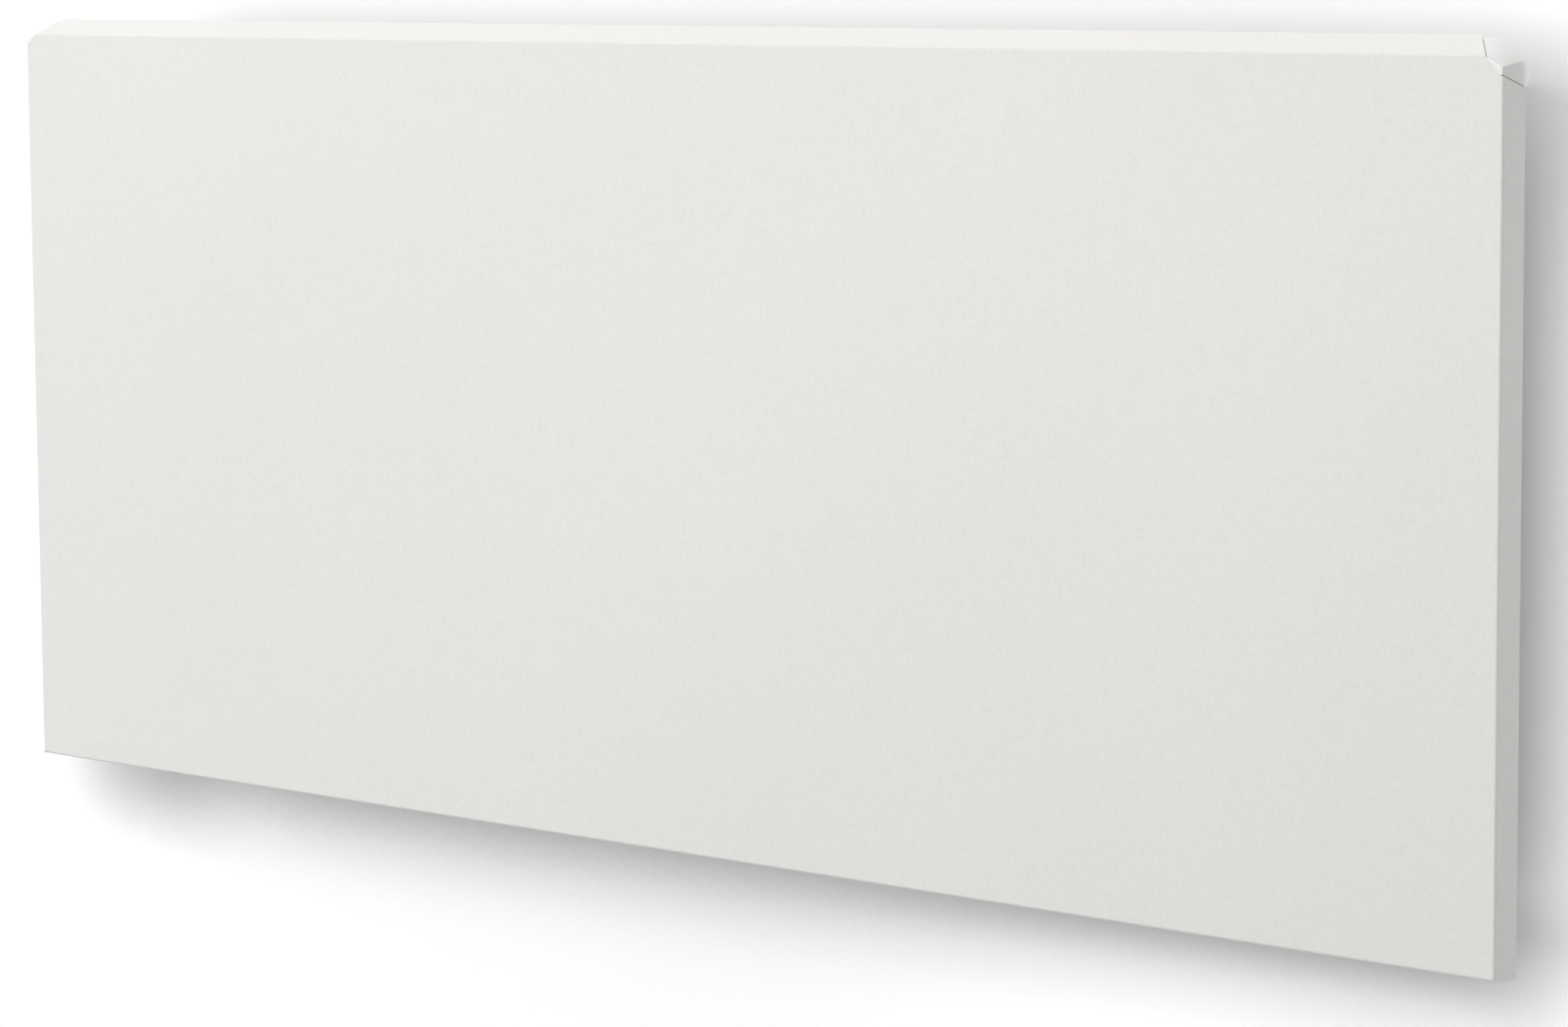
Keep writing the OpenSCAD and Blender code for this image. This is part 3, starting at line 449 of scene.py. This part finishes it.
def cap_tongue(column, inward, along):
    """Two more columns past a seam: a step in, and a tongue that slides under the steel rim."""
    bend, last = 1 + FOLD_STEPS, len(column) - 1

    def sunk(share_back):
        """The column moved in by the step, and shortened behind its fold to miss the rim's lip."""
        points = []
        for j, point in enumerate(column):
            if j > bend:
                point = column[bend].lerp(column[-2], share_back * (j - bend) / (last - bend))
            turn = min(1.0, max(0, j - 1) / FOLD_STEPS)
            points.append(point + Vector((0, 1, 0)).lerp(inward, turn).normalized() * TONGUE_STEP)
        return points

    return sunk(STEP_SHARE), [point + along * TONGUE_REACH for point in sunk(TONGUE_SHARE)]


def corner_cap(side):
    """Moulded cap: dome, crease and side facet lofted from the flat face to the back of the rim."""
    columns = cap_columns()
    top_way = Vector((0, TOP_RISE, -RIM_RUN)).normalized()
    side_way = Vector((-RIM_RUN, SIDE_FLARE, 0)).normalized()
    stepped, slid = cap_tongue(columns[0], top_way, Vector((-1, 0, 0)))
    columns = [slid, stepped] + columns
    stepped, slid = cap_tongue(columns[-1], side_way, Vector((0, 0, -1)))
    columns += [stepped, slid]
    work = bmesh.new()
    grid = [[work.verts.new((side * p.x, p.y + CAP_SETBACK, p.z)) for p in column] for column in columns]
    for left, right in zip(grid, grid[1:]):
        for j in range(len(left) - 1):
            work.faces.new((left[j], left[j + 1], right[j + 1], right[j]))
    bmesh.ops.remove_doubles(work, verts=work.verts, dist=CAP_MERGE)
    bmesh.ops.dissolve_degenerate(work, edges=work.edges, dist=CAP_MERGE / 2)
    bmesh.ops.recalc_face_normals(work, faces=work.faces)
    mesh = bpy.data.meshes.new("corner_cap")
    work.to_mesh(mesh)
    work.free()
    if sum((p.normal * p.area for p in mesh.polygons), Vector()).y > 0:
        mesh.flip_normals()
    smooth_by_angle(mesh, degrees=22)
    hand = "right" if side > 0 else "left"
    obj = add_piece("corner_cap_skin_" + hand, mesh, "heater", "cap_plastic", ["corner_cap_" + hand])
    wall = obj.modifiers.new("wall", "SOLIDIFY")
    wall.thickness = CAP_WALL
    wall.offset = -1


# ---------------------------------------------------------------- screws, rivets and buttons
# places in mm, as in the CAD: x stands on both sides of the middle, and rows are heights
AROUND = 32
BACK_SCREWS = {"x": 385, "y": -22, "rows": (-150, 20, 155), "shank": 8}
CHEEK_SCREWS = {"x": 394, "y": -65, "rows": (-110, 110), "shank": 7}
BRACKET_RIVETS = {"x": 235, "y": -9, "rows": (-76, -64, 64, 76), "grip": 3}
LUG_RIVETS = {"columns": (244, 256), "y": -21.75, "rows": (-155, -130), "grip": 2.5}


def place_at(point, direction):
    """Moves a part built along +Z to a point in mm, facing along a direction."""
    turn = Vector(direction).to_track_quat("Z", "Y").to_matrix().to_4x4()
    return Matrix.Translation(Vector(point) * MM) @ turn


def ring(work, radius, height, count=AROUND):
    """Ring of vertices round +Z."""
    r, z = radius * MM, height * MM
    turns = [2 * math.pi * k / count for k in range(count)]
    return [work.verts.new((r * math.cos(t), r * math.sin(t), z)) for t in turns]


def skin(work, rings):
    """Faces between each ring of vertices and the next."""
    for low, high in zip(rings, rings[1:]):
        for k in range(len(low)):
            n = (k + 1) % len(low)
            work.faces.new((low[k], low[n], high[n], high[k]))


def turned(work, profile, matrix):
    """Solid of revolution from (radius, height) pairs in mm, lowest first, closed at both ends."""
    rings = [ring(work, r, h) for r, h in profile]
    skin(work, rings)
    work.faces.new(rings[0][::-1])
    work.faces.new(rings[-1])
    bmesh.ops.transform(work, matrix=matrix, verts=[v for row in rings for v in row])


def round_edge(radius, height, r, steps=4):
    """Profile points over an outer edge of radius r, from the side up to the top."""
    turns = [math.pi / 2 * k / steps for k in range(steps + 1)]
    return [(radius - r + r * math.cos(t), height - r + r * math.sin(t)) for t in turns]


def dome(radius, base, rise, steps=5):
    """Profile points over a low dome, from its rim to just short of its middle."""
    turns = [math.pi / 2 * k / (steps + 0.3) for k in range(steps + 1)]
    return [(radius * math.cos(t), base + rise * math.sin(t)) for t in turns]


def cross_outline(arm, half):
    """The twelve corners of a cross, counter-clockwise."""
    quarter = [(arm, -half), (arm, half), (half, half)]
    points = []
    for k in range(4):
        c, s = round(math.cos(math.pi / 2 * k)), round(math.sin(math.pi / 2 * k))
        points += [(x * c - y * s, x * s + y * c) for x, y in quarter]
    return points


def pan_screw(work, shank, matrix):
    """Pan-head screw with a cross recess and a threaded shank, its head's seat at height 0."""
    head_r, head_h, flat_r, shoulder, edge = 3.5, 2.2, 2.6, 0.7, 0.15
    tip_r, tip_h, plain = 0.5, 0.6, 1.2
    pitch, core, crest = 0.8, 1.4, 1.72
    depth, recess_top, recess_floor = 1.3, (1.9, 0.42), (0.8, 0.25)
    start = len(work.verts)
    profile = [(tip_r, -shank), (core, -shank + tip_h)]
    for k in range(int((shank - plain) / pitch)):
        z = -shank + tip_h + k * pitch
        profile += [(core, z + 0.1), (crest, z + pitch / 2), (core, z + pitch - 0.1)]
    profile += [(core, 0), (head_r - edge, 0), (head_r, edge)]
    for k in range(1, 6):
        t = math.pi / 2 * k / 5
        profile.append((flat_r + (head_r - flat_r) * math.cos(t),
                        shoulder + (head_h - shoulder) * math.sin(t)))
    rings = [ring(work, r, h) for r, h in profile]
    skin(work, rings)
    work.faces.new(rings[0][::-1])
    mouth, floor = ([work.verts.new((x * MM, y * MM, height * MM)) for x, y in cross_outline(*size)]
                    for size, height in ((recess_top, head_h), (recess_floor, head_h - depth)))
    skin(work, [mouth, floor])
    work.faces.new(floor)
    rim = [work.edges.get((loop[k], loop[(k + 1) % len(loop)]))
           for loop in (rings[-1], mouth) for k in range(len(loop))]
    bmesh.ops.triangle_fill(work, edges=rim, use_beauty=True, normal=(0, 0, 1))
    work.verts.ensure_lookup_table()
    bmesh.ops.transform(work, matrix=matrix, verts=work.verts[start:])


def domed_rivet(work, grip, matrix):
    """Rivet with a low dome at each end of its grip length, centred on its middle."""
    half, shank_r, head_r, rise = grip / 2, 2.0, 3.5, 1.0
    top = [(shank_r, half), *dome(head_r, half, rise)]
    turned(work, [(r, -h) for r, h in top[::-1]] + top, matrix)


def finish_mesh(work, name, degrees=32):
    """Turns the working mesh into a shaded one with its faces outward."""
    bmesh.ops.recalc_face_normals(work, faces=work.faces)
    mesh = bpy.data.meshes.new(name)
    work.to_mesh(mesh)
    work.free()
    smooth_by_angle(mesh, degrees)
    return mesh


def add_screws():
    """Screws that hold the back plate and the end cheeks."""
    work = bmesh.new()
    back, cheek = BACK_SCREWS, CHEEK_SCREWS
    for side in (-1, 1):
        for z in back["rows"]:
            pan_screw(work, back["shank"], place_at((side * back["x"], back["y"], z), (0, 1, 0)))
        for z in cheek["rows"]:
            pan_screw(work, cheek["shank"], place_at((side * cheek["x"], cheek["y"], z), (side, 0, 0)))
    add_piece("pan_head_screws", finish_mesh(work, "pan_head_screws"), "heater",
              slot_of["casing_screws"], ["casing_screws"])


def add_rivets():
    """Rivets of the wall bracket, across its uprights, and of the hinge lugs, through the back plate."""
    work = bmesh.new()
    at = BRACKET_RIVETS
    for side in (-1, 1):
        for z in at["rows"]:
            domed_rivet(work, at["grip"], place_at((side * at["x"], at["y"], z), (1, 0, 0)))
    add_piece("bracket_domed_rivets", finish_mesh(work, "bracket_domed_rivets"), "wall_bracket",
              slot_of["bracket_rivets"], ["bracket_rivets"])
    work = bmesh.new()
    at = LUG_RIVETS
    for side in (-1, 1):
        for x in at["columns"]:
            for z in at["rows"]:
                domed_rivet(work, at["grip"], place_at((side * x, at["y"], z), (0, 1, 0)))
    add_piece("lug_domed_rivets", finish_mesh(work, "lug_domed_rivets"), "heater",
              slot_of["lug_rivets"], ["lug_rivets"])


def raised_bar(work, centre, length, width, turn, low, high):
    """Small bar moulded on a button's top, with drafted sides."""
    draft = 0.12
    matrix = Matrix.Translation(Vector((centre[0], centre[1], 0)) * MM) @ Matrix.Rotation(turn, 4, "Z")
    rows = []
    for z, shrink in ((low, 0), (high, draft)):
        a, b = length / 2 - shrink, width / 2 - shrink
        rows.append([work.verts.new(matrix @ (Vector(p) * MM))
                     for p in ((-a, -b, z), (a, -b, z), (a, b, z), (-a, b, z))])
    skin(work, rows)
    work.faces.new(rows[0][::-1])
    work.faces.new(rows[1])


def push_buttons():
    """Dished button caps on their flanges and stems, each with its own raised mark."""
    y, top, dish, sink = -48, 176.4, 0.35, 0.1
    stem_r, foot = 1.2, 165.8
    flange_r, flange_foot, flange_top, bevel = 5.6, 170, 171.9, 0.15
    cap_r, cap_foot = 4.5, 172.0
    bar_length, bar_width, bar_top = 3.6, 0.8, top - 0.05
    ring_radii, ring_top = (1.7, 1.6, 1.1, 1.0), top - 0.06
    profile = [(stem_r, foot), (stem_r, flange_foot), (flange_r - bevel, flange_foot),
               (flange_r, flange_foot + bevel), *round_edge(flange_r, flange_top, 0.3, 3),
               (cap_r + 0.1, flange_top), (cap_r, cap_foot), *round_edge(cap_r, top, 0.7),
               (3.4, top - 0.08), (2.4, top - 0.24), (1.2, top - dish + 0.03), (0.3, top - dish)]
    floor = top - dish - sink
    for node, x, bar_turns in (("button_minus", 346, (0,)), ("button_plus", 359, (0, math.pi / 2)),
                               ("button_mode", 372, ())):
        work = bmesh.new()
        place = Matrix.Translation(Vector((x, y, 0)) * MM)
        turned(work, profile, place)
        for turn in bar_turns:
            raised_bar(work, (x, y), bar_length, bar_width, turn, floor, bar_top)
        if not bar_turns:
            rows = [ring(work, radius, height, 24)
                    for radius, height in zip(ring_radii, (floor, ring_top, ring_top, floor))]
            skin(work, rows + rows[:1])
            bmesh.ops.transform(work, matrix=place, verts=[v for row in rows for v in row])
        add_piece(node + "_cap", finish_mesh(work, node + "_cap", 28), node, slot_of[node], [node])


# edge radii in mm of the frame's own pieces; the rest keep their sharp sheared edges
EDGE_RADII = {
    "back_plate": 0.2, "end_cheek_left": 0.25, "end_cheek_right": 0.25, "heat_shield": 0.2,
    "outlet_grille": 0.4, "inlet_guard": 0.35, "control_housing": 0.5, "display_lens": 0.3,
    "switch_body": 0.5, "switch_rocker": 0.5, "terminal_box": 0.5, "terminal_lid": 0.5,
    "bracket_upright_left": 0.3, "bracket_upright_right": 0.3, "bracket_rail_upper": 0.3,
    "bracket_rail_lower": 0.3, "hinge_lug_left": 0.3, "hinge_lug_right": 0.3, "catch_sockets": 0.4,
    "cable_gland": 0.4, "gland_nut": 0.3, "pivot_pins": 0.4, "catch_studs": 0.3,
    "element_bracket_left": 0.2, "element_bracket_right": 0.2, "terminal_block": 0.4,
}
ROUND_WIRES = ("wire_live", "wire_switched", "wire_neutral", "wire_earth", "element_leads")


# ---------------------------------------------------------------- stage
def plane(name, corners, material):
    """A flat stage piece."""
    mesh = bpy.data.meshes.new(name)
    mesh.from_pydata(corners, [], [(0, 1, 2, 3)])
    mesh.materials.append(material)
    obj = bpy.data.objects.new(name, mesh)
    scene.collection.objects.link(obj)
    return obj


def plain_matt(name, colour):
    """Matt paint with barely visible drifts in tone."""
    shade = Shade(name, 0.9)
    shade.colour(shade.ramp(shade.noise(0.3, 2), [(0.3, tint(colour, 0.995)), (0.7, colour)]))
    shade.shader.inputs["Specular IOR Level"].default_value = 0.1
    return shade


FLOOR_GREY = (0.45, 0.45, 0.45)
FLOOR_DROP = 0.25
STAGE_REACH = 7.0
WALL_WHITE = (0.97, 0.97, 0.97)
# painted shade: how far the casing's closeness darkens the wall's paint, how much, and its share by
# height
PAINTED_SHADE_REACH = 0.10
PAINTED_SHADE_DARK = 0.28
PAINTED_SHADE_SPAN = (-0.155, -0.19)
PAINTED_SHADE_SHARE = (0.3, 1.0)
# painted light: an even faint glow of the wall, and a stronger one in the gap past the right-hand end
# that lifts the shadow there; a span says where it sets in
PAINTED_GLOW = (0.045, 0.50)
PAINTED_GLOW_SPANS = (("X", (0.355, 0.46)), ("X", (0.64, 0.50)), ("Z", (-0.30, -0.17)), ("Z", (0.30, 0.04)))
# painted light: more glow under the right-hand half, lifting the shadow there
PAINTED_LIFT = 0.14
PAINTED_LIFT_SPANS = (("X", (-0.15, 0.33)), ("X", (0.44, 0.34)), ("Z", (-0.196, -0.225)), ("Z", (-0.36, -0.29)))
# painted shadow: the wall's paint is darker past the lower left corner
PAINTED_SHADOW_DARK = (0.48, 0.48, 0.48)
PAINTED_SHADOW_SPANS = (("X", (-0.545, -0.46)), ("X", (-0.35, -0.445)), ("Z", (-0.262, -0.195)),
               ("Z", (-0.15, -0.20)))


def smooth_span(tree, source, span, values):
    """Runs smoothly from one value to another while the source crosses a span."""
    made = tree.nodes.new("ShaderNodeMapRange")
    made.interpolation_type = "SMOOTHSTEP"
    for name, value in zip(("From Min", "From Max", "To Min", "To Max"), (*span, *values)):
        made.inputs[name].default_value = value
    tree.links.new(source, made.inputs["Value"])
    return made.outputs["Result"]


def both(shade, operation, a, b):
    """A sum or product of two sockets."""
    made = shade.node("ShaderNodeMath", operation=operation)
    shade.link(a, made.inputs[0])
    shade.link(b, made.inputs[1])
    return made.outputs[0]


def inside(shade, axes, spans):
    """One where every span along its axis has been crossed, falling smoothly to nought before them."""
    shares = [smooth_span(shade.tree, axes.outputs[axis], span, (0.0, 1.0)) for axis, span in spans]
    return functools.reduce(lambda a, b: both(shade, "MULTIPLY", a, b), shares)


def wall_paint():
    """White paint that shows from the front only. Its painted shade, painted shadow and painted glow
    bring the shadows to their depth.
    """
    shade = plain_matt("wall_paint", WALL_WHITE)
    axes = shade.node("ShaderNodeSeparateXYZ")
    shade.link(shade.place, axes.inputs["Vector"])
    # painted shade: the wall's colour is darkened where the casing is close, below the heater
    nearby = shade.node("ShaderNodeAmbientOcclusion", samples=4)
    nearby.inputs["Distance"].default_value = PAINTED_SHADE_REACH
    shadow = shade.ramp(nearby.outputs["AO"], [(0.4, PAINTED_SHADE_DARK), (1.0, 1.0)])
    below = smooth_span(shade.tree, axes.outputs["Z"], PAINTED_SHADE_SPAN, PAINTED_SHADE_SHARE)
    paint = shade.mix(WALL_WHITE, shadow, below, "MULTIPLY")
    # painted shadow: the patch past the lower left corner darkens the wall's colour
    drift = inside(shade, axes, PAINTED_SHADOW_SPANS)
    shade.colour(shade.mix(paint, PAINTED_SHADOW_DARK, drift, "MULTIPLY"))
    # painted light: the wall's glow, stronger in the shadowed gap past the right-hand end
    painted_glow = smooth_span(shade.tree, inside(shade, axes, PAINTED_GLOW_SPANS), (0.0, 1.0), PAINTED_GLOW)
    # painted light: more glow that lifts the shadow under the right-hand half
    painted_lift = smooth_span(shade.tree, inside(shade, axes, PAINTED_LIFT_SPANS), (0.0, 1.0), (0.0, PAINTED_LIFT))
    shade.shader.inputs["Emission Color"].default_value = (1, 1, 1, 1)
    shade.link(both(shade, "ADD", painted_glow, painted_lift), shade.shader.inputs["Emission Strength"])
    clear = shade.node("ShaderNodeBsdfTransparent")
    pick = shade.node("ShaderNodeMixShader")
    shade.link(shade.node("ShaderNodeNewGeometry").outputs["Backfacing"], pick.inputs["Fac"])
    shade.link(shade.shader.outputs["BSDF"], pick.inputs[1])
    shade.link(clear.outputs["BSDF"], pick.inputs[2])
    shade.link(pick.outputs["Shader"], shade.tree.nodes["Material Output"].inputs["Surface"])
    return shade.material


def add_stage():
    """A pale floor under the heater and the wall it hangs on."""
    z, r = cad_box[0].z - FLOOR_DROP, STAGE_REACH
    floor_paint = plain_matt("floor_paint", FLOOR_GREY).material
    plane("floor", [(-r, -r, z), (r, -r, z), (r, r, z), (-r, r, z)], floor_paint)
    wall = plane("wall", [(-r, 0, z), (r, 0, z), (r, 0, z + r), (-r, 0, z + r)], wall_paint())
    wall.visible_shadow = False


HEATER_MIDDLE = Vector((0, -0.04, 0))
ROOM_SPAN, ROOM_LIGHT = (0.25, 0.85), (0.76, 0.04)


def area_light(name, place, size, irradiance, bounces=None):
    """Soft box facing the heater. Its irradiance there is given as a share of a white world's."""
    away = Vector(place) - HEATER_MIDDLE
    data = bpy.data.lights.new(name, "AREA")
    data.shape = "RECTANGLE"
    data.size, data.size_y = size
    data.energy = irradiance * math.pi ** 2 * away.length_squared
    if bounces is not None:
        data.cycles.max_bounces = bounces
    obj = bpy.data.objects.new(name, data)
    obj.location = place
    obj.rotation_euler = away.to_track_quat("Z", "Y").to_euler()
    scene.collection.objects.link(obj)


def add_lights():
    """A key lamp, one overhead, one for the back, and a white room."""
    area_light("key", (-0.9, -2.6, 0.55), (3.2, 1.5), 0.65)
    area_light("overhead", (0.3, -0.9, 2.4), (3.0, 1.4), 0.31)
    # lights the back when it is looked at, and adds nothing to what bounces off it
    area_light("back_fill", (1.3, 2.4, 1.3), (2.0, 1.4), 0.75, 0)
    world = bpy.data.worlds.new("studio")
    world.use_nodes = True
    # an even white room, darker past the right-hand end
    tree = world.node_tree
    compass = tree.nodes.new("ShaderNodeTexCoord")
    axes = tree.nodes.new("ShaderNodeSeparateXYZ")
    tree.links.new(compass.outputs["Generated"], axes.inputs["Vector"])
    strength = smooth_span(tree, axes.outputs["X"], ROOM_SPAN, ROOM_LIGHT)
    tree.links.new(strength, tree.nodes["Background"].inputs["Strength"])
    tree.nodes["Background"].inputs["Color"].default_value = (1, 1, 1, 1)
    world.cycles.sampling_method = "NONE"
    scene.world = world
    scene.view_settings.view_transform = "Standard"


# ---------------------------------------------------------------- build
add_camera()
add_stage()
add_lights()
for node, obj in nodes.items():
    dress(obj, slot_of[node])
for node, width in EDGE_RADII.items():
    shade_welded(nodes[node], width * MM)
for node in ROUND_WIRES:
    shade_welded(nodes[node])
corner_cap(1)
corner_cap(-1)
add_screws()
add_rivets()
push_buttons()
